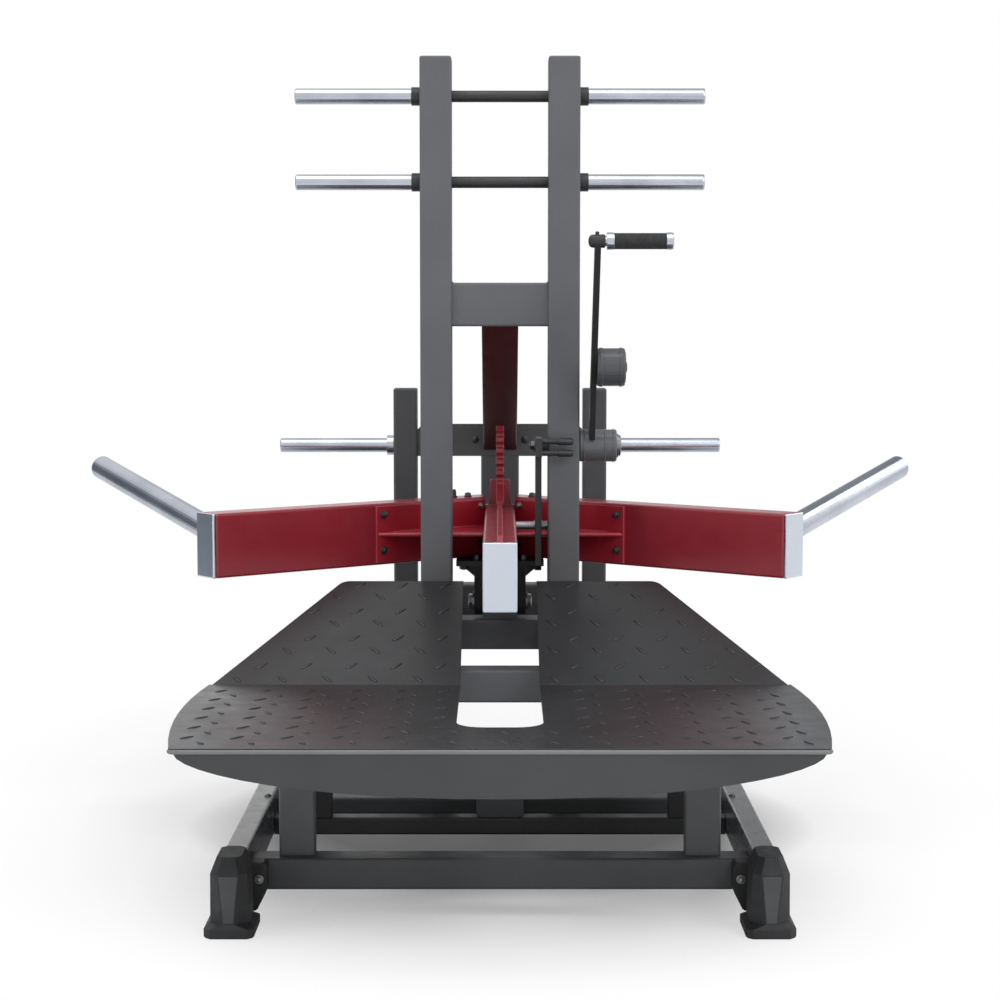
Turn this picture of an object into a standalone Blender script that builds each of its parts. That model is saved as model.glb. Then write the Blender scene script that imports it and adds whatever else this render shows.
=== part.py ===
"""Sumo squat machine: a plate loaded lever on a steel frame with a slotted tread deck.

Metres, +Z up. The user stands on the deck and faces +Y or -Y with the central arm between the feet.
The origin is on the floor under the middle of the machine.
"""
import bpy
import bmesh
import math
from mathutils import Vector

# Clearance between pieces that touch
GAP = 0.0003

# How far welded pieces of one body run into each other
WELD = 0.003

# Deck
DECK_FRONT_Y = -0.74
BREAK_Y = -0.16
RAMP_REAR_Y = 0.18
DECK_TOP_Z = 0.357
RAMP_TOP_Z = 0.50
PLATE_T = 0.005
DECK_HALF_FRONT = 0.50
DECK_HALF_BREAK = 0.514
DECK_SIDE_BOW = 0.021
DECK_CORNER_R = 0.008
RAMP_HALF_FRONT = 0.508
RAMP_HALF_REAR = 0.30
RAMP_CORNER_R = 0.025
SLOT_HALF = 0.07
SLOT_END_Y = -0.566
SLOT_CORNER_R = 0.045
APRON_DROP = 0.068
APRON_INSET = 0.004
BEARER_H = 0.04

# Base
BASE_Z = 0.044
FRONT_BEAM_Y = -0.374
FRONT_BEAM_D = 0.06
FRONT_BEAM_H = 0.053
LOW_BEAM_H = 0.032
MID_BEAM_Y = 0.02
MID_BEAM_D = 0.04
SIDE_BEAM_X = 0.44
SIDE_BEAM_W = 0.04
SIDE_BEAM_TOP = 0.12
LEG_X = 0.343
LEG_W = 0.06
LEG_D = 0.04
DECK_CROSS_Y = -0.04
DECK_CROSS_TOP = 0.363
DECK_CROSS_H = 0.06
DECK_CROSS_HALF = 0.40
SPINE_W = 0.088
SPINE_H = 0.05
SPINE_R = 0.01
TUBE_R = 0.004
EDGE_R = 0.002

# Shoes
SHOE_FRONT_Y = -0.52
SHOE_REAR_Y = 0.74
SHOE_D = 0.11
SHOE_H = 0.132
SHOE_TOP_W = 0.054
SHOE_BASE_W = 0.082
SHOE_FLANGE_H = 0.016
SHOE_SOCKET = 0.05

# Tall uprights
UPRIGHT_X = 0.122
UPRIGHT_W = 0.06
UPRIGHT_Y = 0.19
UPRIGHT_D = 0.08
UPRIGHT_TOP = 1.4945
TOP_R = 0.0035
CROSSBEAM_BOTTOM = 0.986
CROSSBEAM_H = 0.083
CROSSBEAM_D = 0.06

# Plate storage
STORAGE_DROPS = (0.0725, 0.2345)
STORAGE_BAR_R = 0.011
COLLAR_R = 0.0175
COLLAR_LENGTH = 0.016
SLEEVE_R = 0.015
SLEEVE_TIP_X = 0.39

# Rear frame
REAR_X = 0.20
REAR_W = 0.05
REAR_Y = 0.64
REAR_D = 0.05
REAR_TOP = 0.853
REAR_BEAM_H = 0.053
REAR_BEAM_Y = 0.58
REAR_PEG_Z = 0.732
REAR_PEG_TIP_X = 0.466
PEG_COLLAR_R = 0.021
PEG_COLLAR_L = 0.014
REAR_PLATE_BOTTOM = 0.71
REAR_PLATE_SET = 0.006
REAR_PLATE_H = 0.068
REAR_PLATE_T = 0.008
REAR_PLATE_CLIP = 0.012
RAIL_BOTTOM = 0.337
RAIL_H = 0.06
REAR_CROSS_H = 0.10
POST_W = 0.08
POST_D = 0.03
STRUT_W = 0.071
STRUT_T = 0.061
STRUT_LOW_Z = 0.722

# Pivot of the lever
PIVOT_Y = 0.42
PIVOT_Z = 0.43
PIVOT_R = 0.0125
PIVOT_SHAFT_HALF = 0.064
PEDESTAL_W = 0.07
PEDESTAL_R = 0.025
PIVOT_BEAM_D = 0.08
LUG_T = 0.016
LUG_R = 0.027
LUG_TOP_D = 0.10
FLANGE_T = 0.011
FLANGE_W = 0.052
WING_H = 0.045
WING_T = 0.016

# Lever arms, tube 60 by 120
ARM_W = 0.06
ARM_H = 0.121
ARM_BOTTOM = 0.498
ARM_FRONT_Y = -0.259
ARM_REAR_Y = 0.53
SIDE_ARM_LIFT = 0.02
SIDE_ARM_ORIGIN_Y = 0.516
SIDE_ARM_ANGLE = math.radians(52)
SIDE_ARM_END = 0.70
END_CAP_T = 0.006
HUB_PLATE_T = 0.006
HUB_PLATE_END = 0.335
HUB_PLATE_H = 0.112
WEB_FRONT_Y = 0.305
WEB_T = 0.008
RIB_W = 0.009
RIB_H = 0.014

# Rack on the hub
RACK_T = 0.016
RACK_FRONT_Y = 0.462
RACK_D = 0.042
RACK_FOOT = 0.06
RACK_TOP = 0.782
RACK_NOTCHES = 5
RACK_PITCH = 0.0225
RACK_NOTCH_R = 0.0072
RACK_NOTCH_TOP = 0.766
GUSSET_TOP = 0.672
GUSSET_TOP_HALF = 0.0207
GUSSET_T = 0.012

# Loading horns
HORN_R = 0.0235
HORN_LENGTH = 0.46
HORN_TILT = math.radians(12.5)
HORN_INSET = 0.046
HORN_RAISE = 0.019
HORN_COLLAR_R = 0.033
HORN_COLLAR_T = 0.012

# Release lever
RELEASE_Y = 0.23
RELEASE_Z = 0.757
RELEASE_SHAFT_R = 0.0125
RELEASE_HUB_R = 0.031
RELEASE_HUB_L = 0.072
HANDLE_X = 0.176
HANDLE_T = 0.011
HANDLE_BAR_W = 0.03
HANDLE_FOOT = 0.048
HANDLE_WAIST = 0.17
HANDLE_Y = -0.03
HANDLE_Z = 1.14
GRIP_R = 0.0145
GRIP_INNER_X = 0.192
GRIP_OUTER_X = 0.312
GRIP_END_L = 0.013
COUNTERWEIGHT_R = 0.0355
COUNTERWEIGHT_L = 0.052
COUNTERWEIGHT_SHARE = 0.40
HOOK_X = 0.074
HOOK_T = 0.012
HOOK_W = 0.022
HOOK_BOTTOM = 0.515
CATCH_Y = 0.256
CATCH_Z = 0.600
CATCH_R = 0.008
CATCH_END_X = 0.088
FORK_Y = 0.167
FORK_R = 0.005
FORK_SPREAD = 0.022
FORK_END_X = 0.139
FORK_EDGE = 0.002
HOOK_CHAMFER = 0.01
TOE_REACH = 0.009
TOE_TIP_H = 0.028
TOE_ROOT_H = 0.045

ROUND = 32

# Worked out from the sizes above
DECK_UNDER = DECK_TOP_Z - PLATE_T
RAMP_SLOPE = (RAMP_TOP_Z - DECK_TOP_Z) / (RAMP_REAR_Y - BREAK_Y)
RAMP_DROP = PLATE_T * math.hypot(1, RAMP_SLOPE)
LOW_BEAM_TOP = BASE_Z + LOW_BEAM_H
FRONT_BEAM_TOP = BASE_Z + FRONT_BEAM_H
REAR_BEAM_TOP = BASE_Z + REAR_BEAM_H
UPRIGHT_REAR = UPRIGHT_Y + UPRIGHT_D
STORAGE_Z = tuple(UPRIGHT_TOP - drop for drop in STORAGE_DROPS)
UPRIGHT_IN = UPRIGHT_X - UPRIGHT_W / 2
UPRIGHT_OUT = UPRIGHT_X + UPRIGHT_W / 2
REAR_IN = REAR_X - REAR_W / 2
REAR_OUT = REAR_X + REAR_W / 2
RAIL_TOP = RAIL_BOTTOM + RAIL_H
SIDE_IN = SIDE_BEAM_X - SIDE_BEAM_W / 2
ARM_TOP = ARM_BOTTOM + ARM_H
SIDE_ARM_BOTTOM = ARM_BOTTOM + SIDE_ARM_LIFT
SIDE_ARM_TOP = SIDE_ARM_BOTTOM + ARM_H
SIDE_ARM_MID = SIDE_ARM_BOTTOM + ARM_H / 2
ARM_FACE = ARM_W / 2 + GAP
ALONG = Vector((math.sin(SIDE_ARM_ANGLE), -math.cos(SIDE_ARM_ANGLE), 0))
ACROSS = Vector((math.cos(SIDE_ARM_ANGLE), math.sin(SIDE_ARM_ANGLE), 0))
ARM_ORIGIN = Vector((0, SIDE_ARM_ORIGIN_Y, 0))
REAR_PLATE_Y = REAR_Y + REAR_PLATE_SET
LEVER_ORIGIN = (0, PIVOT_Y, PIVOT_Z)
RELEASE_ORIGIN = (0, RELEASE_Y, RELEASE_Z)

for item in list(bpy.data.objects):
    bpy.data.objects.remove(item, do_unlink=True)


def collection(name):
    made = bpy.data.collections.new(name)
    bpy.context.scene.collection.children.link(made)
    return made


PARTS = collection("sumo_squat_machine")
CUTTERS = collection("cutters")


def material(name, colour, roughness, metallic):
    made = bpy.data.materials.new(name)
    made.use_nodes = True
    shader = made.node_tree.nodes["Principled BSDF"]
    shader.inputs["Base Color"].default_value = (*colour, 1)
    shader.inputs["Roughness"].default_value = roughness
    shader.inputs["Metallic"].default_value = metallic
    made.diffuse_color = (*colour, 1)
    return made


FINISHES = {
    "grey": ((0.105, 0.108, 0.112), 0.5, 0.0),
    "deck": ((0.045, 0.047, 0.05), 0.45, 0.1),
    "red": ((0.16, 0.01, 0.02), 0.35, 0.0),
    "dark_red": ((0.06, 0.008, 0.012), 0.45, 0.0),
    "chrome": ((0.75, 0.76, 0.78), 0.15, 1.0),
    "silver": ((0.55, 0.57, 0.62), 0.35, 0.3),
    "steel": ((0.45, 0.45, 0.46), 0.35, 0.9),
    "black": ((0.02, 0.02, 0.021), 0.5, 0.0),
    "rubber": ((0.012, 0.012, 0.012), 0.8, 0.0),
}


def keep(mesh, name, finish, origin=(0, 0, 0)):
    """Makes the object of a mesh whose points are in world space, with its origin at a chosen point."""
    for point in mesh.vertices:
        point.co -= Vector(origin)
    made = bpy.data.objects.new(name, mesh)
    made.location = origin
    PARTS.objects.link(made)
    mesh.name = name
    mesh.materials.append(material(name, *FINISHES[finish]))
    mesh.shade_smooth()
    mesh.set_sharp_from_angle(angle=math.radians(32))
    return made


def mesh_from(bm):
    bmesh.ops.recalc_face_normals(bm, faces=bm.faces)
    mesh = bpy.data.meshes.new("work")
    bm.to_mesh(mesh)
    bm.free()
    return mesh


def block(low, high, along=None, radius=TUBE_R, rounds=2, top_round=0):
    """A box between two corners, with its edges along one axis rounded as on a tube, and its top if asked."""
    bm = bmesh.new()
    bmesh.ops.create_cube(bm, size=1)
    low, high = Vector(low), Vector(high)
    for point in bm.verts:
        point.co = Vector(low[i] + (high[i] - low[i]) * (point.co[i] + 0.5) for i in range(3))
    if along is not None:
        long_edges = [e for e in bm.edges if abs((e.verts[0].co - e.verts[1].co).normalized()[along]) > 0.5]
        bmesh.ops.bevel(bm, geom=long_edges, offset=radius, segments=rounds, affect="EDGES", profile=0.5)
    if top_round:
        rim = [e for e in bm.edges if min(v.co.z for v in e.verts) > high.z - GAP]
        bmesh.ops.bevel(bm, geom=rim, offset=top_round, segments=rounds, affect="EDGES", profile=0.5)
    return mesh_from(bm)


def rod(start, end, radius, segments=ROUND, end_radius=None):
    """A round bar between two points."""
    start, end = Vector(start), Vector(end)
    bm = bmesh.new()
    length = (end - start).length
    bmesh.ops.create_cone(bm, cap_ends=True, segments=segments, radius1=radius,
                          radius2=radius if end_radius is None else end_radius, depth=length)
    turn = (end - start).to_track_quat("Z", "Y").to_matrix().to_4x4()
    bmesh.ops.transform(bm, matrix=turn, verts=bm.verts)
    bmesh.ops.translate(bm, vec=(start + end) / 2, verts=bm.verts)
    return mesh_from(bm)


def prism(outline, axis, low, high):
    """A flat outline, extruded along X, Y or Z. The outline gives the two other coordinates in order."""
    data = bpy.data.curves.new("outline", "CURVE")
    data.dimensions = "2D"
    data.fill_mode = "BOTH"
    data.extrude = (high - low) / 2
    line = data.splines.new("POLY")
    line.points.add(len(outline) - 1)
    for point, place in zip(line.points, outline):
        point.co = (place[0], place[1], 0, 1)
    line.use_cyclic_u = True
    holder = bpy.data.objects.new("outline", data)
    bpy.context.scene.collection.objects.link(holder)
    bpy.context.view_layer.update()
    mesh = bpy.data.meshes.new_from_object(holder.evaluated_get(bpy.context.evaluated_depsgraph_get()))
    bpy.data.objects.remove(holder)
    bpy.data.curves.remove(data)
    middle = (low + high) / 2
    order = {"X": (2, 0, 1), "Y": (0, 2, 1), "Z": (0, 1, 2)}[axis]
    for point in mesh.vertices:
        local = (point.co[0], point.co[1], point.co[2] + middle)
        point.co = Vector(local[i] for i in order)
    bm = bmesh.new()
    bm.from_mesh(mesh)
    bpy.data.meshes.remove(mesh)
    bmesh.ops.remove_doubles(bm, verts=bm.verts, dist=0.00001)
    return mesh_from(bm)


def arc(centre, radius, first, last, steps=6):
    """Points on an arc, angles in degrees."""
    turns = [math.radians(first + (last - first) * i / steps) for i in range(steps + 1)]
    return [(centre[0] + radius * math.cos(a), centre[1] + radius * math.sin(a)) for a in turns]


def bevel(item, width, segments=2, angle=40):
    made = item.modifiers.new("edges", "BEVEL")
    made.width = width
    made.segments = segments
    made.limit_method = "ANGLE"
    made.angle_limit = math.radians(angle)
    made.harden_normals = False
    return item


def cut(item, mesh, operation="DIFFERENCE"):
    """Cuts or joins an object with a hidden one."""
    tool = bpy.data.objects.new(item.name + "_cutter", mesh)
    CUTTERS.objects.link(tool)
    tool.hide_render = True
    tool.display_type = "WIRE"
    made = item.modifiers.new("cut", "BOOLEAN")
    made.operation = operation
    made.solver = "EXACT"
    made.object = tool
    return item


def mirrored(mesh, side):
    """The same mesh on the other side of the machine."""
    if side > 0:
        return mesh
    bm = bmesh.new()
    bm.from_mesh(mesh)
    bpy.data.meshes.remove(mesh)
    for point in bm.verts:
        point.co.x = -point.co.x
    bmesh.ops.reverse_faces(bm, faces=bm.faces)
    return mesh_from(bm)


SIDES = (("left", -1), ("right", 1))


def lathe(profile, start, direction):
    """A turned solid. The profile gives (radius, distance from the start) and begins and ends on the axis."""
    data = bpy.data.meshes.new("profile")
    points = [(r, 0, z) for r, z in reversed(profile)]
    data.from_pydata(points, [(i, i + 1) for i in range(len(points) - 1)], [])
    holder = bpy.data.objects.new("profile", data)
    bpy.context.scene.collection.objects.link(holder)
    spin = holder.modifiers.new("turn", "SCREW")
    spin.steps = ROUND
    spin.render_steps = ROUND
    spin.use_merge_vertices = True
    spin.merge_threshold = 0.00001
    bpy.context.view_layer.update()
    mesh = bpy.data.meshes.new_from_object(holder.evaluated_get(bpy.context.evaluated_depsgraph_get()))
    bpy.data.objects.remove(holder)
    bpy.data.meshes.remove(data)
    bm = bmesh.new()
    bm.from_mesh(mesh)
    bpy.data.meshes.remove(mesh)
    turn = Vector(direction).to_track_quat("Z", "Y").to_matrix().to_4x4()
    bmesh.ops.transform(bm, matrix=turn, verts=bm.verts)
    bmesh.ops.translate(bm, vec=Vector(start), verts=bm.verts)
    return mesh_from(bm)


def ramp_under(y):
    """Height of the ramp's underside at a depth."""
    return DECK_TOP_Z + (y - BREAK_Y) * RAMP_SLOPE - RAMP_DROP


def deck_front_plate():
    steps = 8
    depth = BREAK_Y - DECK_FRONT_Y
    side = []
    for i in range(steps + 1):
        t = i / steps * (1 - DECK_CORNER_R / depth)
        half = DECK_HALF_BREAK + (DECK_HALF_FRONT - DECK_HALF_BREAK) * t + DECK_SIDE_BOW * 4 * t * (1 - t)
        side.append((half, BREAK_Y - depth * t))
    corner = arc((side[-1][0] - DECK_CORNER_R, DECK_FRONT_Y + DECK_CORNER_R), DECK_CORNER_R, 0, -90, 4)
    slot = [(SLOT_HALF, BREAK_Y)]
    slot += arc((SLOT_HALF - SLOT_CORNER_R, SLOT_END_Y + SLOT_CORNER_R), SLOT_CORNER_R, 0, -90)
    right = side + corner[1:]
    left = [(-x, y) for x, y in reversed(right)]
    outline = right + left + [(-x, y) for x, y in slot] + list(reversed(slot))
    keep(prism(outline, "Z", DECK_UNDER, DECK_TOP_Z), "deck_front_plate", "deck")


def ramp_plates():
    """Two sloping plates with the slot between them, each built flat and then raised to the slope."""
    edge = Vector((RAMP_HALF_REAR - RAMP_HALF_FRONT, RAMP_REAR_Y - BREAK_Y - GAP)).normalized()
    turn = math.degrees(math.atan2(-edge.x, edge.y))
    centre_x = RAMP_HALF_REAR - RAMP_CORNER_R * math.tan(math.radians((90 - turn) / 2))
    outline = [(SLOT_HALF, BREAK_Y + GAP), (RAMP_HALF_FRONT, BREAK_Y + GAP)]
    outline += arc((centre_x, RAMP_REAR_Y - RAMP_CORNER_R), RAMP_CORNER_R, turn, 90)
    outline += [(SLOT_HALF, RAMP_REAR_Y)]
    for name, side in SIDES:
        mesh = prism(outline, "Z", 0, RAMP_DROP)
        for point in mesh.vertices:
            point.co.z += DECK_TOP_Z - RAMP_DROP + (point.co.y - BREAK_Y) * RAMP_SLOPE
        keep(mirrored(mesh, side), "ramp_plate_" + name, "deck")


def apron():
    """Front skirt, deep in the middle and curving up to the corners."""
    half = DECK_HALF_FRONT - DECK_CORNER_R
    top = DECK_UNDER - GAP
    low = []
    for i in range(25):
        u = -math.cos(math.pi * i / 24)
        drop = APRON_DROP * (1 - abs(u) ** 2.2) ** 0.6 + APRON_INSET
        low.append((half * u, top - drop))
    outline = [(half, top), (-half, top)] + low
    keep(prism(outline, "Y", DECK_FRONT_Y, DECK_FRONT_Y + PLATE_T), "deck_apron", "grey")


def front_legs():
    """Each front leg with the bearer along its top that carries the deck."""
    left_x, right_x = LEG_X - LEG_W / 2, LEG_X + LEG_W / 2
    bearer_z = DECK_UNDER - GAP - BEARER_H
    for name, side in SIDES:
        leg = block((left_x, FRONT_BEAM_Y + FRONT_BEAM_D - LEG_D, FRONT_BEAM_TOP + GAP),
                    (right_x, FRONT_BEAM_Y + FRONT_BEAM_D, bearer_z + WELD), along=2)
        made = keep(mirrored(leg, side), "front_leg_" + name, "grey")
        bearer = block((left_x, DECK_FRONT_Y + PLATE_T + GAP, bearer_z),
                       (right_x, DECK_CROSS_Y - GAP, DECK_UNDER - GAP),
                       along=1)
        cut(made, mirrored(bearer, side), "UNION")


def middle_legs():
    for name, side in SIDES:
        leg = block((LEG_X - LEG_W / 2, MID_BEAM_Y, LOW_BEAM_TOP + GAP),
                    (LEG_X + LEG_W / 2, MID_BEAM_Y + MID_BEAM_D, DECK_TOP_Z), along=2)
        for point in leg.vertices:
            if point.co.z > LOW_BEAM_TOP + 2 * GAP:
                point.co.z = ramp_under(point.co.y) - GAP
        keep(mirrored(leg, side), "middle_leg_" + name, "grey")
    keep(block((-DECK_CROSS_HALF, DECK_CROSS_Y, DECK_CROSS_TOP - DECK_CROSS_H),
               (DECK_CROSS_HALF, MID_BEAM_Y - GAP, DECK_CROSS_TOP), along=0), "deck_cross_beam", "grey")


def side_beam_corners(clearance=0.0):
    """Corners of the right side beam, which ends inside the shoes."""
    low = Vector((SIDE_IN, SHOE_FRONT_Y + SHOE_D - SHOE_SOCKET, BASE_Z))
    high = Vector((SIDE_IN + SIDE_BEAM_W, SHOE_REAR_Y - SHOE_D + SHOE_SOCKET, SIDE_BEAM_TOP))
    grown = Vector((clearance, clearance, clearance))
    return low - grown, high + grown


def base_beams():
    low, high = side_beam_corners()
    for name, side in SIDES:
        keep(mirrored(block(low, high, along=1), side), "side_beam_" + name, "grey")
    half = SIDE_IN - GAP
    rows = (("front_beam", FRONT_BEAM_Y, FRONT_BEAM_D, FRONT_BEAM_TOP),
            ("middle_beam", MID_BEAM_Y, MID_BEAM_D, LOW_BEAM_TOP),
            ("upright_beam", UPRIGHT_Y, UPRIGHT_D, LOW_BEAM_TOP))
    for name, y, depth, top in rows:
        keep(block((-half, y, BASE_Z), (half, y + depth, top), along=0), name, "grey")
    step_x = SIDE_BEAM_X - SHOE_BASE_W / 2 - GAP
    step_y = SHOE_REAR_Y - SHOE_D - GAP
    outline = [(half, REAR_BEAM_Y), (half, step_y), (step_x, step_y), (step_x, REAR_Y + REAR_D)]
    outline += [(-x, y) for x, y in reversed(outline)]
    rear = keep(prism(outline, "Z", BASE_Z, REAR_BEAM_TOP), "rear_beam", "grey")
    spine = block((-SPINE_W / 2, MID_BEAM_Y, LOW_BEAM_TOP + GAP),
                  (SPINE_W / 2, REAR_BEAM_Y + WELD, LOW_BEAM_TOP + GAP + SPINE_H),
                  along=1, radius=SPINE_R, rounds=3)
    cut(rear, spine, "UNION")
    bevel(rear, EDGE_R, 2)


def shoe_section(z, width, depth, chamfer):
    """Corners of one level of a shoe, a rectangle with cut corners."""
    x, y = width / 2, depth / 2
    ring = [(x, y - chamfer), (x - chamfer, y), (chamfer - x, y), (-x, y - chamfer),
            (-x, chamfer - y), (chamfer - x, -y), (x - chamfer, -y), (x, chamfer - y)]
    return [Vector((a, b, z)) for a, b in ring]


def shoes():
    """Moulded feet: a flared base flange, a tapering body and a chamfered top."""
    body = SHOE_BASE_W - 0.018
    levels = ((0, SHOE_BASE_W - 0.006, SHOE_D - 0.006, 0.008),
              (0.003, SHOE_BASE_W, SHOE_D, 0.01),
              (SHOE_FLANGE_H, SHOE_BASE_W, SHOE_D, 0.01),
              (SHOE_FLANGE_H + 0.008, body, SHOE_D - 0.006, 0.022),
              (SHOE_H - 0.026, SHOE_TOP_W + 0.006, SHOE_D - 0.002, 0.012),
              (SHOE_H, SHOE_TOP_W - 0.014, SHOE_D - 0.03, 0.01))
    for end, middle_y in (("front", SHOE_FRONT_Y + SHOE_D / 2), ("rear", SHOE_REAR_Y - SHOE_D / 2)):
        for name, side in SIDES:
            bm = bmesh.new()
            place = Vector((side * SIDE_BEAM_X, middle_y, 0))
            rings = [[bm.verts.new(point + place) for point in shoe_section(*level)] for level in levels]
            for lower, upper in zip(rings, rings[1:]):
                for i in range(8):
                    bm.faces.new((lower[i], lower[(i + 1) % 8], upper[(i + 1) % 8], upper[i]))
            bm.faces.new(rings[0])
            bm.faces.new(rings[-1])
            made = keep(mesh_from(bm), "shoe_" + end + "_" + name, "black")
            cut(made, mirrored(block(*side_beam_corners(GAP)), side))


def uprights():
    """Tall posts, each with the bearer in front that carries the ramp and the rail behind it."""
    middle = UPRIGHT_Y + UPRIGHT_D / 2
    drop = ramp_under(DECK_CROSS_Y) - (DECK_CROSS_TOP + GAP)
    first, last = DECK_CROSS_Y, UPRIGHT_Y + WELD
    outline = [(first, ramp_under(first) - drop), (last, ramp_under(last) - drop),
               (last, ramp_under(last) - GAP), (first, ramp_under(first) - GAP)]
    for name, side in SIDES:
        tube = block((UPRIGHT_IN, UPRIGHT_Y, LOW_BEAM_TOP + GAP),
                     (UPRIGHT_OUT, UPRIGHT_REAR, UPRIGHT_TOP), along=2,
                     top_round=TOP_R)
        made = keep(mirrored(tube, side), "upright_" + name, "grey")
        if side > 0:
            hole = (UPRIGHT_IN - WELD, RELEASE_Y, RELEASE_Z), (UPRIGHT_OUT + WELD, RELEASE_Y, RELEASE_Z)
            cut(made, rod(*hole, RELEASE_SHAFT_R + GAP))
        for z in STORAGE_Z:
            cut(made, rod((-SLEEVE_TIP_X, middle, z), (SLEEVE_TIP_X, middle, z), STORAGE_BAR_R + GAP))
        cut(made, mirrored(prism(outline, "X", UPRIGHT_IN + WELD, UPRIGHT_OUT - WELD), side), "UNION")
        rail = block((UPRIGHT_IN + WELD, UPRIGHT_REAR - WELD, RAIL_BOTTOM),
                     (UPRIGHT_OUT - WELD, REAR_Y - GAP, RAIL_TOP),
                     along=1)
        cut(made, mirrored(rail, side), "UNION")
    half = UPRIGHT_IN - GAP
    y = UPRIGHT_Y + (UPRIGHT_D - CROSSBEAM_D) / 2
    keep(block((-half, y, CROSSBEAM_BOTTOM),
               (half, y + CROSSBEAM_D, CROSSBEAM_BOTTOM + CROSSBEAM_H), along=0),
         "crossbeam", "grey")


def storage():
    """Turned bars through the uprights, thicker outside them, with chrome sleeves at both ends."""
    y = UPRIGHT_Y + UPRIGHT_D / 2
    collar_x = UPRIGHT_OUT + GAP
    end_x = collar_x + COLLAR_LENGTH
    reach = 2 * end_x
    profile = [(0, 0), (COLLAR_R, 0), (COLLAR_R, COLLAR_LENGTH), (STORAGE_BAR_R, COLLAR_LENGTH),
               (STORAGE_BAR_R, reach - COLLAR_LENGTH), (COLLAR_R, reach - COLLAR_LENGTH),
               (COLLAR_R, reach), (0, reach)]
    for level, z in zip(("upper", "lower"), STORAGE_Z):
        keep(lathe(profile, (-end_x, y, z), (1, 0, 0)), "storage_bar_" + level, "black")
        for name, side in SIDES:
            start = (side * (end_x + GAP), y, z)
            sleeve = lathe(sleeve_profile(SLEEVE_TIP_X - end_x - GAP, SLEEVE_R), start, (side, 0, 0))
            keep(sleeve, "storage_sleeve_" + level + "_" + name, "chrome")


def sleeve_profile(length, radius, tip=0.003):
    """A plain round sleeve with a rounded tip."""
    bend = [(radius - tip + tip * math.cos(a), length - tip + tip * math.sin(a))
            for a in (math.radians(i * 30) for i in range(4))]
    return [(0, 0), (radius, 0)] + bend + [(0, length)]


def rear_frame():
    peg_y = REAR_Y + REAR_D / 2
    start = REAR_OUT + GAP
    for name, side in SIDES:
        tube = block((REAR_IN, REAR_Y, REAR_BEAM_TOP + GAP), (REAR_OUT, REAR_Y + REAR_D, REAR_TOP), along=2,
                     top_round=TOP_R)
        keep(mirrored(tube, side), "rear_upright_" + name, "grey")
        profile = [(0, 0), (PEG_COLLAR_R, 0), (PEG_COLLAR_R, PEG_COLLAR_L)]
        sleeve = sleeve_profile(REAR_PEG_TIP_X - start - PEG_COLLAR_L, SLEEVE_R)
        profile += [(r, z + PEG_COLLAR_L) for r, z in sleeve[1:]]
        keep(lathe(profile, (side * start, peg_y, REAR_PEG_Z), (side, 0, 0)), "rear_peg_" + name, "chrome")
    half = REAR_IN - GAP
    beam_top = RAIL_BOTTOM + REAR_CROSS_H
    beam = keep(block((-half, REAR_Y, RAIL_BOTTOM), (half, REAR_Y + REAR_D, beam_top), along=0),
                "rear_cross_beam", "grey")
    post = block((-POST_W / 2, REAR_PLATE_Y, beam_top - WELD),
                 (POST_W / 2, REAR_PLATE_Y + POST_D, REAR_PLATE_BOTTOM - GAP), along=2)
    cut(beam, post, "UNION")
    plate_top = REAR_PLATE_BOTTOM + REAR_PLATE_H
    outline = [(half, REAR_PLATE_BOTTOM), (half, plate_top - REAR_PLATE_CLIP),
               (half - REAR_PLATE_CLIP, plate_top)]
    outline += [(-x, z) for x, z in reversed(outline)]
    keep(prism(outline, "Y", REAR_PLATE_Y, REAR_PLATE_Y + REAR_PLATE_T), "rear_cross_plate", "grey")


def strut():
    """Sloping brace from the crossbeam down to the rear cross plate."""
    start = UPRIGHT_Y + (UPRIGHT_D + CROSSBEAM_D) / 2 + GAP
    end = REAR_PLATE_Y - GAP
    outline = [(start, CROSSBEAM_BOTTOM), (end, STRUT_LOW_Z), (end, STRUT_LOW_Z + STRUT_T),
               (start, CROSSBEAM_BOTTOM + STRUT_T)]
    mesh = prism(outline, "X", -STRUT_W / 2, STRUT_W / 2)
    bevel(keep(mesh, "strut", "dark_red"), 0.003, 2)


def pivot():
    """Fixed beam with the pedestal that holds the lever's shaft."""
    half = UPRIGHT_IN - GAP
    beam = block((-half, PIVOT_Y - PIVOT_BEAM_D / 2, RAIL_BOTTOM),
                 (half, PIVOT_Y + PIVOT_BEAM_D / 2, RAIL_TOP), along=0)
    made = keep(beam, "pivot_beam", "grey")
    outline = arc((PIVOT_Y, PIVOT_Z), PEDESTAL_R, 0, 180, 12)
    outline += [(PIVOT_Y - PEDESTAL_R, RAIL_TOP - WELD), (PIVOT_Y + PEDESTAL_R, RAIL_TOP - WELD)]
    cut(made, prism(outline, "X", -PEDESTAL_W / 2, PEDESTAL_W / 2), "UNION")
    bore = rod((-PIVOT_SHAFT_HALF, PIVOT_Y, PIVOT_Z), (PIVOT_SHAFT_HALF, PIVOT_Y, PIVOT_Z), PIVOT_R + GAP)
    cut(made, bore)
    shaft = rod((-PIVOT_SHAFT_HALF, PIVOT_Y, PIVOT_Z), (PIVOT_SHAFT_HALF, PIVOT_Y, PIVOT_Z), PIVOT_R)
    bevel(keep(shaft, "pivot_shaft", "steel"), 0.0015, 1)


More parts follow.
